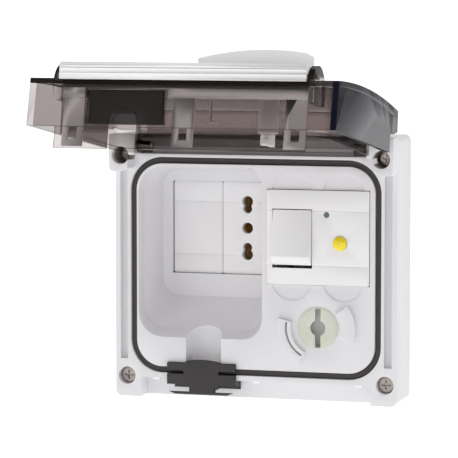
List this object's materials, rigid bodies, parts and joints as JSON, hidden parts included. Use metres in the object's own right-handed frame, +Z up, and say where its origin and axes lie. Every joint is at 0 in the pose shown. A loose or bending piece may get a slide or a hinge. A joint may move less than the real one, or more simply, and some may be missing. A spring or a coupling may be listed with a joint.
{
  "type": "lidded residual current device panel",
  "caption": "Weatherproof frame with a residual current breaker, a recessed socket outlet, and a smoky hinged lid with latch, lock and cable outlet.",
  "frame": {"origin": "centre of the four corner screws, on the plane of the frame's rear rim", "axes": "+X to the right seen from the front, +Y into the wall, +Z up"},
  "size_m": [0.14, 0.1888, 0.1704],
  "materials": {
    "frame_plastic": "satin",
    "module_plastic": "satin",
    "gasket_rubber": "matt",
    "outlet_rubber": "matt",
    "smoky_clear": "polished",
    "nylon": "satin",
    "lock_plastic": "satin",
    "test_yellow": "polished",
    "lens_grey": "polished",
    "screw_steel": "brushed",
    "pin_steel": "polished",
    "contact_brass": "satin",
    "copper_metal": "satin",
    "carrier_black": "matt",
    "core_brown": "matt",
    "wire_cover": "satin"
  },
  "bodies": {
    "panel": {"front_frame": "frame_plastic", "gasket": "gasket_rubber", "recess_tub": "frame_plastic", "back_box": "frame_plastic", "back_box_screws": "screw_steel", "corner_screws": "screw_steel", "cable_gland_base": "outlet_rubber", "lock_bush": "nylon", "rcbo_face": "module_plastic", "rcbo_body": "module_plastic", "rcbo_carrier": "carrier_black", "carrier_screws": "screw_steel", "rocker_pin": "pin_steel", "fixed_contacts": "copper_metal", "arc_chute": "screw_steel", "trip_coil": "copper_metal", "sensing_toroid": "core_brown", "test_blade": "contact_brass", "rcbo_terminals": "contact_brass", "terminal_screws": "screw_steel", "indicator_lens": "lens_grey", "blank_module": "module_plastic", "socket_face": "module_plastic", "socket_body": "module_plastic", "socket_contacts": "contact_brass", "socket_carrier": "carrier_black", "socket_carrier_screws": "screw_steel", "link_wires": "wire_cover", "hinge_pins": "pin_steel"},
    "lid": {"lid_shell": "smoky_clear", "cable_gland_lid": "outlet_rubber", "latch_pins": "pin_steel", "latch_spring": "pin_steel", "lock_collar": "nylon"},
    "latch": {"latch_bar": "lock_plastic"},
    "lock": {"lock_lever": "lock_plastic", "lock_stem": "lock_plastic", "stem_ring": "gasket_rubber"},
    "rocker": {"rcbo_rocker": "module_plastic"},
    "button": {"test_button": "test_yellow"},
    "contact": {"moving_contact": "copper_metal"}
  },
  "joints": [
    {"name": "lid_hinge", "type": "hinge", "parent": "panel", "child": "lid", "pos_m": [0, -0.033, 0.059], "axis": [1, 0, 0], "range_deg": [-4, 98.6]},
    {"name": "latch_swing", "type": "hinge", "parent": "lid", "child": "latch", "pos_m": [0, -0.14145, 0.09158], "axis": [1, 0, 0], "range_deg": [-2.5, 0], "stiffness_Nm_per_rad": 0.4},
    {"name": "lock_turn", "type": "hinge", "parent": "lid", "child": "lock", "pos_m": [0.0313, -0.11484, 0.09565], "axis": [0, -0.1495, -0.9888], "range_deg": [0, 90]},
    {"name": "rocker_tilt", "type": "hinge", "parent": "panel", "child": "rocker", "pos_m": [0.01875, -0.0245, 0.0154], "axis": [1, 0, 0], "range_deg": [0, 20]},
    {"name": "button_press", "type": "slide", "parent": "panel", "child": "button", "axis": [0, 1, 0], "range_m": [0, 0.0015], "stiffness_N_per_m": 400},
    {"name": "contact_swing", "type": "hinge", "parent": "panel", "child": "contact", "pos_m": [0.01875, -0.009, 0.022], "axis": [1, 0, 0], "range_deg": [-26, 0]}
  ],
  "couplings": [
    {"joint": "contact_swing", "follows": "rocker_tilt", "ratio": -1.25}
  ]
}
